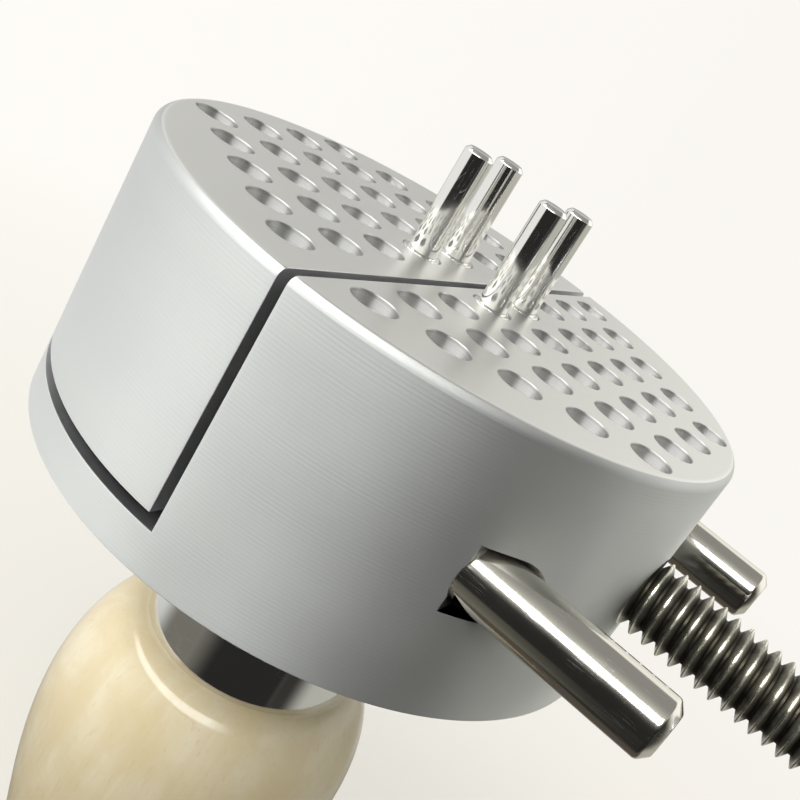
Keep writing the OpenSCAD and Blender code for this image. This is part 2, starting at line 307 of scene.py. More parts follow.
aluminium = {
    "side": (0.695, 0.71, 0.70, 1), "band": (0.68, 0.695, 0.69, 1), "top": (0.80, 0.80, 0.77, 1),
    "rubbed": (0.93, 0.93, 0.92, 1), "bands": (0.35, 0.65), "spread": 0.7, "pitch": 0.3, "breaks": 0.7,
    "sideRoughness": 0.6, "topRoughness": 0.36, "sideDepth": 0.006, "topDepth": 0.0008, "grainScale": 14.0,
    "grainDetail": 2.0, "grainShare": 0.5, "cloudSize": 9.0, "cloud": 0.05, "wearReach": 0.18,
    "wearGain": 2.2, "wearShine": 0.15,
}


# the turned side spreads its light up and down, the finely faced top spreads it evenly
def makeHeadAluminium(name, colour, bandColour, roughness, depth, spread):
    material, tree, shader, point = newMaterial(name, Metallic=1.0, Anisotropic=spread)
    marks = place(tree, toolMarks, vector=point, pitch=aluminium["pitch"], breaks=aluminium["breaks"])
    cloud, worn = cloudOn(tree, point, aluminium), wearOn(tree, aluminium)
    banded = blendColour(tree, remap(tree, marks["Bands"], *aluminium["bands"]), bandColour, colour)
    smoother = calc(tree, "MULTIPLY", worn, -aluminium["wearShine"])
    grain = noise(tree, point, aluminium["grainScale"], aluminium["grainDetail"])
    height = calc(tree, "ADD", marks["Height"], calc(tree, "MULTIPLY", grain, aluminium["grainShare"]))
    feed(tree, shader, Base_Color=blendColour(tree, worn, banded, aluminium["rubbed"]),
         Roughness=calc(tree, "ADD", calc(tree, "MULTIPLY", cloud["Factor"], roughness), smoother),
         Normal=bumpFrom(tree, height, depth), Tangent=acrossMarks(tree, point))
    return material


milled = {
    "colour": (0.74, 0.74, 0.75, 1), "rubbed": (0.9, 0.9, 0.9, 1), "spread": 0.3, "roughness": (0.34, 0.42),
    "strokes": (3.0, 0.4, 3.0), "strokeScale": 1.5, "strokeDetail": 3.0, "depth": 0.001, "wearReach": 0.1,
    "wearGain": 2.0,
}


# the milled faces of the split and of the gap under the moving jaw are smoother, so they mirror each other
def makeMilledAluminium():
    material, tree, shader, point = newMaterial("milledAluminium", Metallic=1.0, Anisotropic=milled["spread"])
    along = vectorCalc(tree, "MULTIPLY", point, milled["strokes"])
    strokes = noise(tree, along, milled["strokeScale"], milled["strokeDetail"])
    feed(tree, shader, Base_Color=blendColour(tree, wearOn(tree, milled), milled["colour"], milled["rubbed"]),
         Roughness=remap(tree, strokes, *noiseSpan, *milled["roughness"]),
         Normal=bumpFrom(tree, strokes, milled["depth"]))
    return material


bored = {
    "dark": (0.52, 0.52, 0.51, 1), "light": (0.88, 0.88, 0.87, 1), "spread": 0.9, "roughness": (0.46, 0.54),
    "pitch": 0.32, "ringDetail": 3.0, "depth": 0.003,
}


# drilled and milled walls, with rings that run level round each hole
def makeBoredAluminium():
    material, tree, shader, point = newMaterial("boredAluminium", Metallic=1.0, Anisotropic=bored["spread"])
    level = calc(tree, "DIVIDE", splitPoint(tree, point)["Z"], bored["pitch"])
    rings = noiseAlong(tree, level, 1.0, bored["ringDetail"])
    colour = blendColour(tree, remap(tree, rings, *noiseSpan), bored["dark"], bored["light"])
    feed(tree, shader, Base_Color=colour, Roughness=remap(tree, rings, *noiseSpan, *bored["roughness"]),
         Normal=bumpFrom(tree, rings, bored["depth"]), Tangent=joinPoint(tree, z=1.0))
    return material


steel = {
    "scratched": (0.9, 0.89, 0.86, 1), "scratchRoughness": 0.25, "speckRoughness": 0.12, "cloudSize": 3.0,
    "cloud": 0.2, "depth": 0.0009,
}
rodLook = {"stretch": (0.25, 9.0, 9.0), "roughness": 0.13, "colour": (0.74, 0.72, 0.65, 1)}
pinLook = {"stretch": (7.0, 7.0, 0.5), "roughness": 0.09, "colour": (0.86, 0.85, 0.82, 1)}
ferruleLook = {"stretch": (1.5, 1.5, 9.0), "roughness": 0.05, "colour": (0.82, 0.825, 0.81, 1)}


def makePolishedSteel(name, stretch, roughness, colour):
    material, tree, shader, point = newMaterial(name, Metallic=1.0)
    lines = place(tree, drawnLines, vector=point, stretch=stretch)
    cloud = cloudOn(tree, point, steel)
    base = calc(tree, "MULTIPLY", cloud["Factor"], roughness)
    rough = calc(tree, "ADD", base, calc(tree, "MULTIPLY", lines["Scratch"], steel["scratchRoughness"]))
    specks = calc(tree, "MULTIPLY", cloud["Specks"], steel["speckRoughness"])
    feed(tree, shader, Base_Color=blendColour(tree, lines["Scratch"], colour, steel["scratched"]),
         Roughness=calc(tree, "ADD", rough, specks), Normal=bumpFrom(tree, lines["Height"], steel["depth"]))
    return material


# the spans are distances from the screw's axis; the groove colour is a painted shade in the thread's roots,
# and the crest colour a painted highlight on its crests
threadLook = {
    "colour": (0.50, 0.49, 0.43, 1), "crest": (0.85, 0.83, 0.74, 1), "groove": (0.05, 0.044, 0.034, 1),
    "flankSpan": (2.45, 3.08), "crestSpan": (3.02, 3.14), "shineSpan": (2.6, 3.1), "roughness": (0.5, 0.26),
    "cloudSize": 1.2, "cloud": 0.3, "markScale": 4.5, "markDetail": 3.0, "depth": 0.02,
}


# the thread's colour holds painted shade, dark in its grooves, and a painted highlight on its crests; the
# thinner journal and spigot get the painted shade too
def makeThreadSteel():
    material, tree, shader, point = newMaterial("threadSteel", Metallic=1.0)
    parts = splitPoint(tree, point)
    radius = awayFrom(tree, parts["Y"], calc(tree, "SUBTRACT", parts["Z"], axisHeight))
    flank = remap(tree, radius, *threadLook["flankSpan"])
    # painted shade: the groove colour darkens the roots and lower flanks
    grooveShaded = blendColour(tree, flank, threadLook["groove"], threadLook["colour"])
    crest = remap(tree, radius, *threadLook["crestSpan"])
    shine = remap(tree, radius, *threadLook["shineSpan"], *threadLook["roughness"])
    cloud = cloudOn(tree, point, threadLook)
    marks = noise(tree, point, threadLook["markScale"], threadLook["markDetail"])
    # painted highlight: the crest colour brightens the crests
    feed(tree, shader, Base_Color=blendColour(tree, crest, grooveShaded, threadLook["crest"]),
         Roughness=calc(tree, "MULTIPLY", cloud["Factor"], shine),
         Normal=bumpFrom(tree, marks, threadLook["depth"]))
    return material


darkLook = {
    "colour": (0.16, 0.16, 0.165, 1), "rubbed": (0.5, 0.5, 0.5, 1), "roughness": 0.4, "cloudSize": 1.5,
    "cloud": 0.25, "wearReach": 0.12, "wearGain": 3.0, "markScale": 8.0, "markDetail": 3.0, "depth": 0.01,
}
knobLook = {
    "colour": (0.74, 0.75, 0.77, 1), "rubbed": (0.93, 0.93, 0.93, 1), "roughness": 0.3, "cloudSize": 4.0,
    "cloud": 0.15, "wearReach": 0.15, "wearGain": 2.5, "markScale": 6.0, "markDetail": 2.0, "depth": 0.004,
}


# a handled metal with rubbed edges; its fine marks cover it evenly, or run as rings along X
def makeWornMetal(name, look, ringed):
    material, tree, shader, point = newMaterial(name, Metallic=1.0)
    cloud, worn = cloudOn(tree, point, look), wearOn(tree, look)
    if ringed:
        marks = noiseAlong(tree, splitPoint(tree, point)["X"], look["markScale"], look["markDetail"])
    else:
        marks = noise(tree, point, look["markScale"], look["markDetail"])
    feed(tree, shader, Base_Color=blendColour(tree, worn, look["colour"], look["rubbed"]),
         Roughness=calc(tree, "MULTIPLY", cloud["Factor"], look["roughness"]),
         Normal=bumpFrom(tree, marks, look["depth"]))
    return material


wood = {
    "light": (0.63, 0.565, 0.405, 1), "warm": (0.57, 0.475, 0.29, 1), "fleck": (0.52, 0.42, 0.255, 1),
    "level": 0.2, "coat": 0.7, "coatRoughness": 0.09, "roughness": 0.5, "poreRoughness": 0.15,
    "lean": (4, -3, 0), "heart": (31.0, 17.0, 0.0), "alongGrain": (1.0, 1.0, 0.07), "ringsPerMm": 0.42,
    "ringDetail": 3.0, "streaks": (0.35, 1.0), "swirl": 5.0, "swirlScale": 0.09, "swirlDetail": 3.0,
    "swirlDistortion": 0.6, "mottle": (0.4, 0.62), "mottleShare": 0.85, "mottleScale": 0.22,
    "mottleDetail": 5.0, "mottleDistortion": 0.4, "alongPores": (1.0, 1.0, 0.12), "pores": (0.6, 0.72),
    "poreShare": 0.45, "poreShine": (0.4, 0.7), "poreScale": 3.2, "poreDetail": 3.0, "poreDepth": 0.03,
    "poreStrength": 0.5,
}


# growth rings round a leaning heart beside the handle, with streaks, soft mottling, flecks and a clear coat
def makeWood():
    material, tree, shader, point = newMaterial(
        "lacqueredWood", Specular_IOR_Level=wood["level"], Coat_Weight=wood["coat"],
        Coat_Roughness=wood["coatRoughness"])
    tilt = addNode(tree, "ShaderNodeMapping", {
        "Vector": point, "Rotation": [math.radians(a) for a in wood["lean"]], "Location": wood["heart"]})
    parts = splitPoint(tree, tilt.outputs[0])
    swirl = noise(tree, vectorCalc(tree, "MULTIPLY", tilt.outputs[0], wood["alongGrain"]), wood["swirlScale"],
                  wood["swirlDetail"], wood["swirlDistortion"])
    fromHeart = awayFrom(tree, parts["X"], parts["Y"])
    rings = calc(tree, "ADD", calc(tree, "MULTIPLY", fromHeart, wood["ringsPerMm"]),
                 calc(tree, "MULTIPLY", swirl, wood["swirl"]))
    wave = noiseAlong(tree, rings, 1.0, wood["ringDetail"])
    pores = noise(tree, vectorCalc(tree, "MULTIPLY", point, wood["alongPores"]), wood["poreScale"],
                  wood["poreDetail"])
    mottle = noise(tree, point, wood["mottleScale"], wood["mottleDetail"], wood["mottleDistortion"])
    ground = blendColour(tree, remap(tree, wave, *noiseSpan, *wood["streaks"]), wood["warm"], wood["light"])
    clouds = remap(tree, mottle, *wood["mottle"], 0.0, wood["mottleShare"])
    flecks = remap(tree, pores, *wood["pores"], 0.0, wood["poreShare"])
    colour = blendColour(tree, flecks, blendColour(tree, clouds, ground, wood["warm"]), wood["fleck"])
    rough = remap(tree, pores, *wood["poreShine"], wood["roughness"],
                  wood["roughness"] + wood["poreRoughness"])
    feed(tree, shader, Base_Color=colour, Roughness=rough,
         Normal=bumpFrom(tree, pores, wood["poreDepth"], wood["poreStrength"]))
    return material


turnedAluminium = makeHeadAluminium(
    "turnedAluminium", aluminium["side"], aluminium["band"], aluminium["sideRoughness"],
    aluminium["sideDepth"], aluminium["spread"])
facedAluminium = makeHeadAluminium(
    "facedAluminium", aluminium["top"], aluminium["top"], aluminium["topRoughness"],
    aluminium["topDepth"], 0.0)
milledAluminium = makeMilledAluminium()
boredAluminium = makeBoredAluminium()
rodSteel = makePolishedSteel("rodSteel", **rodLook)
pinSteel = makePolishedSteel("pinSteel", **pinLook)
ferruleSteel = makePolishedSteel("ferruleSteel", **ferruleLook)
threadSteel = makeThreadSteel()
darkSteel = makeWornMetal("darkSteel", darkLook, False)
knobAluminium = makeWornMetal("knobAluminium", knobLook, True)
lacqueredWood = makeWood()
print("materials made")


# an outline of (radius, height) points is spun round Z; points on the axis become poles
def spinOutline(bm, points, steps, closed=False):
    verts = [bm.verts.new((r * mm, 0, h * mm)) for r, h in points]
    pairs = list(zip(verts, verts[1:])) + ([(verts[-1], verts[0])] if closed else [])
    edges = [bm.edges.new(pair) for pair in pairs]
    knownVerts = set(bm.verts) - set(verts)
    bmesh.ops.spin(bm, geom=verts + edges, cent=(0, 0, 0), axis=(0, 0, 1), angle=fullTurn, steps=steps,
                   use_merge=True, use_duplicate=False)
    made = [v for v in bm.verts if v not in knownVerts]
    bmesh.ops.remove_doubles(bm, verts=made, dist=weld)
    return [v for v in bm.verts if v not in knownVerts]


def spinCylinder(bm, radius, low, high, steps):
    return spinOutline(bm, [(0, low), (radius, low), (radius, high), (0, high)], steps)


# points of an upright ellipse between two angles, in degrees
def ellipseArc(centre, halfWidth, halfHeight, start, end, steps):
    angles = [math.radians(start + (end - start) * i / steps) for i in range(steps + 1)]
    return [(centre[0] + halfWidth * math.cos(a), centre[1] + halfHeight * math.sin(a)) for a in angles]


def roundCorner(centre, radius, start, end, steps):
    return ellipseArc(centre, radius, radius, start, end, steps)


def shiftBy(bm, verts, x, y, z=0.0):
    bmesh.ops.translate(bm, verts=verts, vec=(x * mm, y * mm, z * mm))


# turns what was spun round Z so that it lies along X, on the level of the rods and the screw
def layAlongX(bm, verts, y):
    bmesh.ops.rotate(bm, verts=verts, cent=(0, 0, 0), matrix=Matrix.Rotation(math.radians(90), 3, "Y"))
    shiftBy(bm, verts, 0, y, axisHeight)


def fillHoles(bm):
    bmesh.ops.holes_fill(bm, edges=[e for e in bm.edges if e.is_boundary], sides=0)


def asObject(name, bm, materials):
    bmesh.ops.recalc_face_normals(bm, faces=bm.faces)
    mesh = bpy.data.meshes.new(name)
    bm.to_mesh(mesh)
    bm.free()
    for material in materials:
        mesh.materials.append(material)
    made = bpy.data.objects.new(name, mesh)
    scene.collection.objects.link(made)
    return made


def finishPiece(piece, body, nodes, sharpAngle=32):
    piece.data.shade_smooth()
    piece.data.set_sharp_from_angle(angle=math.radians(sharpAngle))
    weighted = piece.modifiers.new("weightedNormals", "WEIGHTED_NORMAL")
    weighted.keep_sharp = True
    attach(piece, body)
    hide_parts(*nodes)
    print("made", piece.name, len(piece.data.polygons), "faces")


# cuts the cutter out of the piece, or keeps what they share, and removes the cutter
def applyCut(piece, cutter, operation="DIFFERENCE"):
    cut = piece.modifiers.new("cut", "BOOLEAN")
    cut.operation = operation
    cut.solver = "EXACT"
    cut.object = cutter
    cut.material_mode = "TRANSFER"
    graph = bpy.context.evaluated_depsgraph_get()
    result = bpy.data.meshes.new_from_object(piece.evaluated_get(graph), depsgraph=graph)
    piece.modifiers.clear()
    before = piece.data
    piece.data = result
    bpy.data.meshes.remove(before)
    bpy.data.objects.remove(cutter)


# jaws: the round head is spun, split, its cut edges are broken, then it is drilled
head = {
    "radius": 25.4, "height": 22.4, "topRound": 0.7, "topSteps": 7, "footRound": 0.15, "footSteps": 3,
    "plateTop": -19.1, "jawBottom": -18.15, "movingFace": 0.375, "fixedFace": 1.125, "facedDepth": 0.07,
    "edgeRound": 0.07, "edgeAngle": 50, "edgeSegments": 2, "steps": 192,
}
pinHoles = {
    "radius": 1.6475, "depth": 7.2, "firstRow": 3.63, "rowPitch": 4.37, "holePitch": 5.66,
    "zoneRadius": 22.9, "rows": 5, "mouth": 0.07, "footBevel": 0.15, "steps": 40,
}
rods = {
    "radius": 2.38, "y": 16.2, "frontEnd": 33.3, "rearEnd": 32.4, "seat": 15.0, "seatGap": 0.03,
    "seatMouth": 0.1, "bore": 2.43, "boreMouth": 0.12, "footBevel": 0.3, "endBevel": 0.9,
    "shoulderRound": 0.5, "tipRound": 0.35, "steps": 96,
}
rodMouth = {"width": 5.5, "floor": 17.4, "bevel": 0.3}
screw = {
    "radius": 3.175, "pitch": 1.27, "depth": 0.779, "crestBreak": 0.06, "end": 50.0, "stepsPerTurn": 48,
    "profile": (0, 0.1, 0.53, 0.58, 0.69, 0.74, 1.17, 1.27),  # heights along one pitch, root to crest to root
    "spareTurns": 3, "journal": 2.3, "journalLength": 12.5, "journalGap": 0.05, "grooveX": 8.0,
    "grooveWidth": 1.96, "grooveRadius": 1.4, "spigotRadius": 2.4, "spigotLength": 11.0, "endBevel": 0.3,
    "bore": 3.225, "mouth": 0.2,
}
keeper = {"x": -8.0, "y": 2.38, "radius": 0.93, "top": -8.9}
rodLock = {"x": -8.0, "radius": 2.03, "top": -13.48}
plateScrew = {"x": -4.6, "y": 4.5, "headRadius": 2.8, "shankRadius": 1.5, "plate": 3.3}
# cutters run past a skin by the first, above the work face by the second and along X up to the third
past = {"skin": 1.0, "top": 5.0, "side": 40.0}
boreSteps = 64
smallSteps = 32


def headBlank():
    bm = bmesh.new()
    top, foot, radius = head["topRound"], head["footRound"], head["radius"]
    outline = roundCorner((radius - top, -top), top, 90, 0, head["topSteps"])
    outline += roundCorner((radius - foot, -head["height"] + foot), foot, 0, -90, head["footSteps"])
    spinOutline(bm, outline, head["steps"])
    fillHoles(bm)
    for face in bm.faces:
        face.material_index = int(face.calc_center_median().z > -head["facedDepth"] * mm)
    return asObject("headBlank", bm, [turnedAluminium, facedAluminium])


def boxCutter(low, high, material):
    bm = bmesh.new()
    bmesh.ops.create_cube(bm, size=1.0)
    for v in bm.verts:
        v.co = Vector([(a if c < 0 else b) * mm for c, a, b in zip(v.co, low, high)])
    return asObject("boxCutter", bm, [material])


# breaks the edges that the split made, so that they catch a thin line of light
def breakEdges(piece, planes):
    bm = bmesh.new()
    bm.from_mesh(piece.data)
    chosen = []
    for edge in bm.edges:
        if len(edge.link_faces) != 2 or not edge.is_convex:
            continue
        if edge.calc_face_angle() < math.radians(head["edgeAngle"]):
            continue
        if any(all(abs(v.co[axis] - level * mm) < 10 * weld for v in edge.verts) for axis, level in planes):
            chosen.append(edge)
    bmesh.ops.bevel(bm, geom=chosen, offset=head["edgeRound"] * mm, offset_type="OFFSET", profile=0.5,
                    segments=head["edgeSegments"], affect="EDGES", clamp_overlap=False, material=-1)
    bm.to_mesh(piece.data)
    bm.free()


# the drilled holes of one jaw: rows parallel to the split, every second row offset by half a pitch
def holeCentres(side):
    for row in range(pinHoles["rows"]):
        x = pinHoles["firstRow"] + row * pinHoles["rowPitch"]
        reach = math.sqrt(pinHoles["zoneRadius"] ** 2 - x * x)
        y = pinHoles["holePitch"] / 2 if row % 2 == 0 else 0.0
        while y <= reach:
            for sign in ((-1, 1) if y > 0 else (1,)):
                yield side * x, sign * y
            y += pinHoles["holePitch"]


def drillHoles(piece, side):
    bm = bmesh.new()
    radius, mouth = pinHoles["radius"], pinHoles["mouth"]
    foot, bevel = -pinHoles["depth"], pinHoles["footBevel"]
    outline = [(0, foot), (radius - bevel, foot), (radius, foot + bevel), (radius, -mouth),
               (radius + mouth, 0), (radius + mouth, past["skin"]), (0, past["skin"])]
    first = spinOutline(bm, outline, pinHoles["steps"])
    whole = bm.verts[:] + bm.edges[:] + bm.faces[:]
    centres = list(holeCentres(side))
    for x, y in centres[1:]:
        copied = bmesh.ops.duplicate(bm, geom=whole)
        shiftBy(bm, [g for g in copied["geom"] if isinstance(g, bmesh.types.BMVert)], x, y)
    shiftBy(bm, first, *centres[0])
    applyCut(piece, asObject("drill", bm, [boredAluminium]))


# a cutter along X that runs past both ends of its hole, wider by a bevel where an end is a mouth
def boreAlongX(bm, y, start, end, radius, mouthLow=0.0, mouthHigh=0.0):
    outline = [(0, start), (radius + mouthLow, start)]
    if mouthLow:
        outline += [(radius + mouthLow, start + past["skin"]), (radius, start + past["skin"] + mouthLow)]
    if mouthHigh:
        outline += [(radius, end - past["skin"] - mouthHigh), (radius + mouthHigh, end - past["skin"])]
    outline += [(radius + mouthHigh, end), (0, end)]
    layAlongX(bm, spinOutline(bm, outline, boreSteps), y)


def makeFixedJaw():
    jaw = headBlank()
    face, reach, top = head["fixedFace"], 2 * head["radius"], head["plateTop"]
    applyCut(jaw, boxCutter((-reach, -reach, top), (face, reach, past["top"]), milledAluminium))
    breakEdges(jaw, [(0, face), (2, top)])
    drillHoles(jaw, 1)
    bm = bmesh.new()
    floor, half = rodMouth["floor"], rodMouth["width"] / 2
    for side in (-1, 1):
        boreAlongX(bm, side * rods["y"], face - past["skin"], floor + past["skin"], rods["bore"],
                   rods["boreMouth"], rodMouth["bevel"])
    boreAlongX(bm, 0, face - past["skin"], reach, screw["bore"], screw["mouth"])
    applyCut(jaw, asObject("bores", bm, [boredAluminium]))
    for side in (-1, 1):
        y = side * rods["y"]
        bm = bmesh.new()
        layAlongX(bm, spinCylinder(bm, half, floor, past["side"], boreSteps), y)
        applyCut(jaw, asObject("mouthEnd", bm, [boredAluminium]))
        low = (floor, min(y, side * reach), axisHeight - half)
        high = (past["side"], max(y, side * reach), axisHeight + half)
        applyCut(jaw, boxCutter(low, high, boredAluminium))
    bm = bmesh.new()
    headRadius, shank = plateScrew["headRadius"], plateScrew["shankRadius"]
    mouth, foot = top + past["skin"], top - plateScrew["plate"] - past["skin"]
    for side in (-1, 1):
        outline = [(0, mouth), (headRadius + past["skin"], mouth), (shank, top - (headRadius - shank)),
                   (shank, foot), (0, foot)]
        verts = spinOutline(bm, outline, pinHoles["steps"])
        shiftBy(bm, verts, plateScrew["x"], side * plateScrew["y"])
    applyCut(jaw, asObject("countersinks", bm, [boredAluminium]))
    jaw.name = jaw.data.name = "fixedJaw"
    finishPiece(jaw, "base", ["fixed_jaw"])


def makeMovingJaw():
    jaw = headBlank()
    face, reach, bottom = head["movingFace"], 2 * head["radius"], head["jawBottom"]
    cutter = boxCutter((-reach, -reach, bottom), (face, reach, past["top"]), milledAluminium)
    applyCut(jaw, cutter, "INTERSECT")
    breakEdges(jaw, [(0, face), (2, bottom)])
    drillHoles(jaw, -1)
    bm = bmesh.new()
    for side in (-1, 1):
        boreAlongX(bm, side * rods["y"], -rods["seat"], face + past["skin"], rods["radius"] + rods["seatGap"],
                   0.0, rods["seatMouth"])
    gap = screw["journalGap"]
    boreAlongX(bm, 0, -screw["journalLength"] - gap, face + past["skin"], screw["journal"] + gap, 0.0,
               screw["mouth"])
    applyCut(jaw, asObject("bores", bm, [boredAluminium]))
    bm = bmesh.new()
    for sink, y in ((rodLock, rods["y"]), (keeper, keeper["y"])):
        for side in (-1, 1):
            verts = spinCylinder(bm, sink["radius"], bottom - past["skin"], sink["top"], smallSteps)
            shiftBy(bm, verts, sink["x"], side * y)
    applyCut(jaw, asObject("sinks", bm, [boredAluminium]))
    jaw.name = jaw.data.name = "movingJaw"
    finishPiece(jaw, "moving", ["moving_jaw"])


makeFixedJaw()
makeMovingJaw()


# a turned piece that lies along X
def makeTurned(name, outline, steps, y, material, body, nodes, sharpAngle=32):
    bm = bmesh.new()
    layAlongX(bm, spinOutline(bm, outline, steps), y)
    finishPiece(asObject(name, bm, [material]), body, nodes, sharpAngle)


# guide rods, with a rounded bevel at the free end
def makeRod(name, side, end, node):
    radius, foot, bevel = rods["radius"], rods["footBevel"], rods["endBevel"]
    shoulder, tip = rods["shoulderRound"], rods["tipRound"]
    outline = [(0, -rods["seat"]), (radius - foot, -rods["seat"]), (radius, -rods["seat"] + foot)]
    outline += roundCorner((radius - shoulder, end - bevel), shoulder, 0, 40, 5)
    outline += roundCorner((radius - bevel, end - tip), tip, 50, 90, 5) + [(0, end)]
    makeTurned(name, outline, rods["steps"], side * rods["y"], rodSteel, "moving", [node],
               sharpAngle=40)


makeRod("guideRodFront", -1, rods["frontEnd"], "guide_rod_front")
makeRod("guideRodRear", 1, rods["rearEnd"], "guide_rod_rear")


# the thread: one pitch is spun on a rising path, cut flat at both ends and closed
def makeThread():
    bm = bmesh.new()
    radius, pitch, crest = screw["radius"], screw["pitch"], screw["radius"] - screw["crestBreak"]
    root = radius - screw["depth"]
    start, end = pitch, screw["end"]
    turns = int((end - start) / pitch) + screw["spareTurns"]
    below = start - pitch * screw["spareTurns"] / 2
    outline = zip((root, root, crest, radius, radius, crest, root, root), screw["profile"])
    verts = [bm.verts.new((r * mm, 0, (below + h) * mm)) for r, h in outline]
    edges = [bm.edges.new(pair) for pair in zip(verts, verts[1:])]
    steps = screw["stepsPerTurn"] * turns
    bmesh.ops.spin(bm, geom=verts + edges, cent=(0, 0, 0), axis=(0, 0, 1), angle=fullTurn * turns,
                   dvec=(0, 0, pitch * turns / steps * mm), steps=steps, use_merge=False, use_duplicate=False)
    bmesh.ops.remove_doubles(bm, verts=bm.verts, dist=2 * weld)
    for level, side in ((start, -1), (end, 1)):
        bmesh.ops.bisect_plane(bm, geom=bm.verts[:] + bm.edges[:] + bm.faces[:], dist=weld / 10,
                               plane_co=(0, 0, level * mm), plane_no=(0, 0, side), clear_outer=True)
    # the first and last threads run out on a cone
    for v in bm.verts:
        inward = min(v.co.z - start * mm, end * mm - v.co.z)
        limit = root * mm + max(0.0, inward)
        flat = math.hypot(v.co.x, v.co.y)
        if flat > limit:
            v.co.x *= limit / flat
            v.co.y *= limit / flat
    bmesh.ops.remove_doubles(bm, verts=bm.verts, dist=2 * weld)
    fillHoles(bm)
    layAlongX(bm, bm.verts, 0)
    thread = asObject("leadScrewThread", bm, [threadSteel])
    finishPiece(thread, "screw", ["lead_screw"], sharpAngle=30)


# lead screw: the thread, the grooved journal in the moving jaw and the spigot in the knob
def makeLeadScrew():
    makeThread()
    journal, inner, bevel = screw["journal"], screw["grooveRadius"], screw["endBevel"]
    foot, start, end = -screw["journalLength"], screw["pitch"], screw["end"]
    low, high = [-screw["grooveX"] + side * screw["grooveWidth"] / 2 for side in (-1, 1)]
    outline = [(0, foot), (journal - bevel, foot), (journal, foot + bevel), (journal, low), (inner, low),
               (inner, high), (journal, high), (journal, start), (0, start)]
    makeTurned("leadScrewJournal", outline, boreSteps, 0, threadSteel, "screw", ["lead_screw"])
    spigot, far = screw["spigotRadius"], end + screw["spigotLength"]
    outline = [(0, end), (spigot, end), (spigot, far - bevel), (spigot - bevel, far), (0, far)]
    makeTurned("leadScrewSpigot", outline, boreSteps, 0, threadSteel, "screw", ["lead_screw"])


makeLeadScrew()

knob = {
    "start": 50.0, "hubRadius": 5.5, "hubLength": 5.0, "hubRound": 0.3, "fillet": 0.35, "radius": 9.0,
    "length": 9.0, "bevel": 0.8, "rim": 2.0, "recess": 0.4, "middle": 2.0, "bore": 2.43, "boreEnd": 61.03,
    "boreMouth": 0.2, "steps": 264, "diamonds": 44, "rows": 9, "stepsPerRow": 6, "knurlDepth": 0.32,
    "knurlSharp": 1.5, "knurlFade": 0.5, "knurlLead": 0.02, "holeRadius": 1.53, "holeAlong": 2.5,
    "holeStart": 2.4, "holeLength": 10,
}


# knob: hub and grip are spun in one outline, then the grip's skin is pressed into diamonds
def makeKnob():
    bm = bmesh.new()
    start, grip = knob["start"], knob["start"] + knob["hubLength"]
    end, radius, bevel = grip + knob["length"], knob["radius"], knob["bevel"]
    low, high, lead = grip + bevel, end - bevel, knob["knurlLead"]
    bore, mouth, fillet = knob["bore"], knob["boreMouth"], knob["fillet"]
    hub, hubRound = knob["hubRadius"], knob["hubRound"]
    rim, face = radius - knob["rim"], end - knob["recess"]
    outline = [(bore, knob["boreEnd"]), (bore, start + mouth), (bore + mouth, start)]
    outline += roundCorner((hub - hubRound, start + hubRound), hubRound, -90, 0, 4)
    outline += [(hub, grip - fillet)] + roundCorner((hub + fillet, grip - fillet), fillet, 180, 90, 4)[1:]
    outline += [(radius - bevel, grip), (radius - lead, low - lead)]
    count = knob["rows"] * knob["stepsPerRow"]
    outline += [(radius, low + (high - low) * i / count) for i in range(count + 1)]
    outline += [(radius - lead, high + lead), (radius - bevel, end), (rim, end), (rim - knob["recess"], face),
                (knob["middle"], face), (0, face)]
    spinOutline(bm, outline, knob["steps"])
    # two families of slanted grooves, which fade out at both ends of the grip
    for v in bm.verts:
        flat = math.hypot(v.co.x, v.co.y)
        if flat < (radius - lead / 4) * mm:
            continue
        around = math.atan2(v.co.y, v.co.x) / fullTurn * knob["diamonds"]
        along = (v.co.z / mm - low) / (high - low) * knob["rows"]
        nearest = min(abs((around + slant * along / 2) % 1 - 0.5) * 2 for slant in (1, -1))
        fade = min(1.0, along / knob["knurlFade"], (knob["rows"] - along) / knob["knurlFade"])
        press = knob["knurlDepth"] * mm * max(0.0, 1 - nearest * knob["knurlSharp"]) * max(0.0, fade)
        v.co.x *= (flat - press) / flat
        v.co.y *= (flat - press) / flat
    layAlongX(bm, bm.verts, 0)
    piece = asObject("screwKnob", bm, [knobAluminium])
    bm = bmesh.new()
    verts = spinCylinder(bm, knob["holeRadius"], 0, knob["holeLength"], smallSteps)
    shiftBy(bm, verts, start + knob["holeAlong"], 0, axisHeight + knob["holeStart"])
    applyCut(piece, asObject("setScrewHole", bm, [boredAluminium]))
    finishPiece(piece, "screw", ["screw_knob"])


makeKnob()

pin = {
    "shank": 1.5875, "tip": 1.19, "depth": 7.2, "stand": 8.8, "footBevel": 0.35, "shoulderRound": 0.1,
    "neckFillet": 0.05, "endBevel": 0.35, "endInset": 0.32, "endRound": 0.15, "tipRound": 0.1, "steps": 72,
}


# work pins: shank in the hole, shoulder level with the work face, bevelled tip
def makePin(name, x, y, body, node):
    bm = bmesh.new()
    shank, tip, top, foot = pin["shank"], pin["tip"], pin["stand"], -pin["depth"]
    bevel, shoulder, fillet = pin["footBevel"], pin["shoulderRound"], pin["neckFillet"]
    endRound, tipRound = pin["endRound"], pin["tipRound"]
    outline = [(0, foot), (shank - bevel, foot), (shank, foot + bevel)]
    outline += roundCorner((shank - shoulder, -shoulder), shoulder, 0, 90, 3)
    outline += [(tip + fillet, 0), (tip, fillet)]
    outline += roundCorner((tip - endRound, top - pin["endBevel"]), endRound, 0, 40, 4)
    outline += roundCorner((tip - pin["endInset"], top - tipRound), tipRound, 50, 90, 3) + [(0, top)]
    shiftBy(bm, spinOutline(bm, outline, pin["steps"]), x, y)
    finishPiece(asObject(name, bm, [pinSteel]), body, [node], sharpAngle=42)


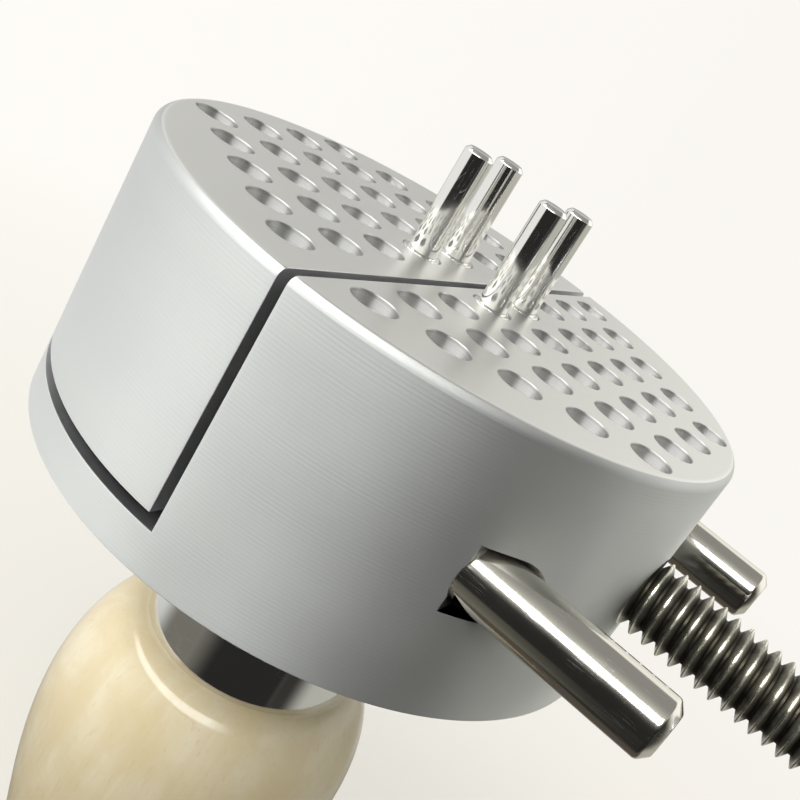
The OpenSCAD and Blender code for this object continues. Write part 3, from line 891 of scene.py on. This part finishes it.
for jawName, xSide in (("Moving", -1), ("Fixed", 1)):
    for rowName, ySide in (("Front", -1), ("Rear", 1)):
        label = jawName.lower() + "_" + rowName.lower()
        x, y = xSide * pinHoles["firstRow"], ySide * pinHoles["holePitch"] / 2
        makePin("workPin" + jawName + rowName, x, y, "pin_" + label, "work_pin_" + label)

ferrule = {
    "radius": 9.7, "wall": 1.9, "top": -22.4, "bottom": -38.6, "crown": 5.0, "stud": 2.53, "topBevel": 0.15,
    "lipRound": 0.06, "steps": 128,
}


# ferrule: a cup whose crown the stud passes through
def makeFerrule():
    bm = bmesh.new()
    radius, inner, stud = ferrule["radius"], ferrule["radius"] - ferrule["wall"], ferrule["stud"]
    top, crown, bottom = ferrule["top"], ferrule["top"] - ferrule["crown"], ferrule["bottom"]
    bevel, lip = ferrule["topBevel"], ferrule["lipRound"]
    outline = [(stud, top), (radius - bevel, top), (radius, top - bevel)]
    outline += roundCorner((radius - lip, bottom + lip), lip, 0, -90, 3)
    outline += [(inner, bottom), (inner, crown), (stud, crown)]
    spinOutline(bm, outline, ferrule["steps"], closed=True)
    finishPiece(asObject("ferruleCup", bm, [ferruleSteel]), "base", ["ferrule"])


makeFerrule()

handle = {
    "length": 92.0, "neck": 9.7, "shoulder": 14.4, "shoulderDrop": 11.4, "waist": 10.8, "waistDrop": 38.4,
    "butt": 14.0, "buttRise": 14.0, "buttFlat": 4.0, "lip": 0.1, "tenonTop": -27.7, "tenonGap": 0.03,
    "neckGap": 0.08, "studRadius": 2.53, "studLength": 32.0, "curveSteps": 22, "steps": 128,
}


# handle: a turned outline with shoulder, waist and round butt, and a tenon up inside the ferrule
def makeHandle():
    top, end, steps = ferrule["bottom"], ferrule["bottom"] - handle["length"], handle["curveSteps"]
    shoulderZ, waistZ = top - handle["shoulderDrop"], top - handle["waistDrop"]
    buttZ = end + handle["buttRise"]
    neck, shoulder, waist, butt = [handle[part] for part in ("neck", "shoulder", "waist", "butt")]
    tenonTop, stud, flat = handle["tenonTop"], handle["studRadius"], handle["buttFlat"]
    tenon = ferrule["radius"] - ferrule["wall"] - handle["tenonGap"]
    boreEnd = tenonTop - handle["studLength"] - handle["tenonGap"]
    outline = [(0, boreEnd), (stud, boreEnd), (stud, tenonTop), (tenon, tenonTop), (tenon, top),
               (neck - handle["neckGap"], top)]
    rise = handle["shoulderDrop"] - handle["lip"]
    outline += ellipseArc((neck, shoulderZ), shoulder - neck, rise, 90, 0, steps)
    for fromR, toR, fromZ, toZ in ((shoulder, waist, shoulderZ, waistZ), (waist, butt, waistZ, buttZ)):
        for i in range(1, steps + 1):
            share = i / steps
            swell = (1 - math.cos(math.pi * share)) / 2
            outline.append((fromR + (toR - fromR) * swell, fromZ + (toZ - fromZ) * share))
    outline += ellipseArc((flat, buttZ), butt - flat, handle["buttRise"], 0, -90, steps)[1:]
    outline.append((0, end))
    bm = bmesh.new()
    spinOutline(bm, outline, handle["steps"])
    finishPiece(asObject("turnedHandle", bm, [lacqueredWood]), "base", ["handle"], sharpAngle=50)


makeHandle()

# small fasteners keep their CAD shape and get a finish
for nodeName in ("rod_set_screws", "keeper_pins", "knob_set_screw", "plate_screws", "handle_stud"):
    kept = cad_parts[nodeName]
    if kept.material_slots:
        for materialSlot in kept.material_slots:
            materialSlot.material = darkSteel
    else:
        kept.data.materials.append(darkSteel)
print("fasteners finished")

# the floor fades from shaded paper to the plain background between two distances from the vise, and the
# background is painted lighter to the left of the picture, a painted light, between two values of a level
# direction's X
studio = {
    "background": (0.955, 0.93, 0.888, 1), "paintedLitSide": (1.0, 0.975, 0.93, 1), "paintedLitSpan": (-0.25, -0.75),
    "ceiling": (0.323, 0.32, 0.31, 1), "paper": (0.58, 0.565, 0.53, 1), "floorRadius": 3000.0,
    "floorGap": 0.2, "floorFade": (150.0, 420.0), "floorSteps": 96,
}
# soft patches of the world, painted in this order over the ceiling's grey: azimuth and elevation, half widths
# and soft edges, all in degrees
patches = {
    "backdrop": {"at": (67, 5), "half": (109, 37.5), "soft": (39, 3.6), "colour": (1.24, 1.226, 1.17)},
    "leftWall": {"at": (185, 0), "half": (75.5, 40.4), "soft": (9, 11.5), "colour": (0.9, 0.897, 0.88)},
    "below": {"at": (0, -85), "half": (181, 41), "soft": (1, 17), "colour": (0.096, 0.083, 0.07)},
    "rightWall": {"at": (-4, -5), "half": (23, 43), "soft": (16.5, 12), "colour": (0.04, 0.038, 0.033)},
    "rightLow": {"at": (49, -26), "half": (38, 26), "soft": (15.7, 8.5), "colour": (0.5, 0.492, 0.44)},
    "cameraSide": {"at": (-66, -28), "half": (49, 62.4), "soft": (3.6, 22), "colour": (0.024, 0.023, 0.0225)},
    "lowLeft": {"at": (-134, -51), "half": (31, 18.4), "soft": (15.5, 3.2), "colour": (0.19, 0.181, 0.155)},
    "frontGlow": {"at": (-95.5, 56.5), "half": (71, 14.7), "soft": (41, 19), "colour": (0.59, 0.583, 0.55)},
    "windowStrip": {"at": (-111, 44.4), "half": (59, 8.7), "soft": (16, 2.1), "colour": (10.6, 10.55, 10.35)},
    "farPaper": {"at": (116, -3), "half": (24, 20), "soft": (24, 41), "colour": (0.182, 0.179, 0.168)},
}


# share of a soft patch at a direction, from the distance to its middle along one angle
def patchShare(tree, angle, middle, half, soft, wraps):
    away = calc(tree, "SUBTRACT", angle, math.radians(middle))
    if wraps:
        away = calc(tree, "WRAP", away, math.pi, -math.pi)
    away = calc(tree, "ABSOLUTE", away)
    node = addNode(tree, "ShaderNodeMapRange", {
        "Value": away, "From Min": math.radians(half - soft), "From Max": math.radians(half + soft),
        "To Min": 1.0, "To Max": 0.0}, interpolation_type="SMOOTHSTEP")
    return node.outputs["Result"]


# the background's colour towards a direction, the same for the world and for the far floor, with painted
# light: lighter towards the left of the picture
def backgroundColour(tree, direction):
    level = vectorCalc(tree, "NORMALIZE", vectorCalc(tree, "MULTIPLY", direction, (1.0, 1.0, 0.0)))
    share = remap(tree, splitPoint(tree, level)["X"], *studio["paintedLitSpan"])
    return blendColour(tree, share, studio["background"], studio["paintedLitSide"])


# the world is a soft studio for light and mirrors, while the camera sees the pale background with its painted
# light, lighter towards the left
def setWorld():
    world = bpy.data.worlds.new("studioWorld")
    world.use_nodes = True
    tree = world.node_tree
    tree.nodes.clear()
    ray = addNode(tree, "ShaderNodeTexCoord").outputs["Generated"]
    x, y, z = splitPoint(tree, ray)
    azimuth = calc(tree, "ARCTAN2", y, x)
    elevation = calc(tree, "ARCSINE", z)
    colour = studio["ceiling"]
    for patch in patches.values():
        wide = patchShare(tree, azimuth, patch["at"][0], patch["half"][0], patch["soft"][0], True)
        tall = patchShare(tree, elevation, patch["at"][1], patch["half"][1], patch["soft"][1], False)
        colour = blendColour(tree, calc(tree, "MULTIPLY", wide, tall), colour, (*patch["colour"], 1))
    path = addNode(tree, "ShaderNodeLightPath")
    light = addNode(tree, "ShaderNodeBackground", {"Color": colour, "Strength": 1.0})
    shown = addNode(tree, "ShaderNodeBackground", {"Color": backgroundColour(tree, ray), "Strength": 1.0})
    mixed = blendShaders(tree, path.outputs["Is Camera Ray"], light.outputs[0], shown.outputs[0])
    addNode(tree, "ShaderNodeOutputWorld", {"Surface": mixed})
    scene.world = world


# the floor shows the background's own colour, with its painted light, far off and keeps the vise's soft
# shadow near it
def makeFloor():
    bm = bmesh.new()
    bmesh.ops.create_circle(bm, cap_ends=True, segments=studio["floorSteps"],
                            radius=studio["floorRadius"] * mm)
    bmesh.ops.translate(bm, verts=bm.verts, vec=(0, 0, cadLow.z - studio["floorGap"] * mm))
    material = bpy.data.materials.new("paperFloor")
    material.use_nodes = True
    tree = material.node_tree
    tree.nodes.clear()
    points = addNode(tree, "ShaderNodeTexCoord").outputs["Object"]
    fade = [distance * mm for distance in studio["floorFade"]]
    far = remap(tree, vectorCalc(tree, "LENGTH", points), *fade)
    paper = addNode(tree, "ShaderNodeBsdfDiffuse", {"Color": studio["paper"]})
    # the far floor glows with the background's colour, painted lighter towards the left
    glow = addNode(tree, "ShaderNodeEmission", {"Color": backgroundColour(tree, points), "Strength": 1.0})
    lit = blendShaders(tree, far, paper.outputs[0], glow.outputs[0])
    # a camera under the floor looks through it
    surface = addNode(tree, "ShaderNodeNewGeometry")
    clear = addNode(tree, "ShaderNodeBsdfTransparent")
    mixed = blendShaders(tree, surface.outputs["Backfacing"], lit, clear.outputs[0])
    addNode(tree, "ShaderNodeOutputMaterial", {"Surface": mixed})
    floor = asObject("paperFloor", bm, [material])
    floor.data.flip_normals()  # the disc faces up
    floor.visible_glossy = False  # mirrors see the world's own pale patches below instead
    floor.visible_diffuse = False
    floor.visible_shadow = False


setWorld()
makeFloor()
print("studio set")
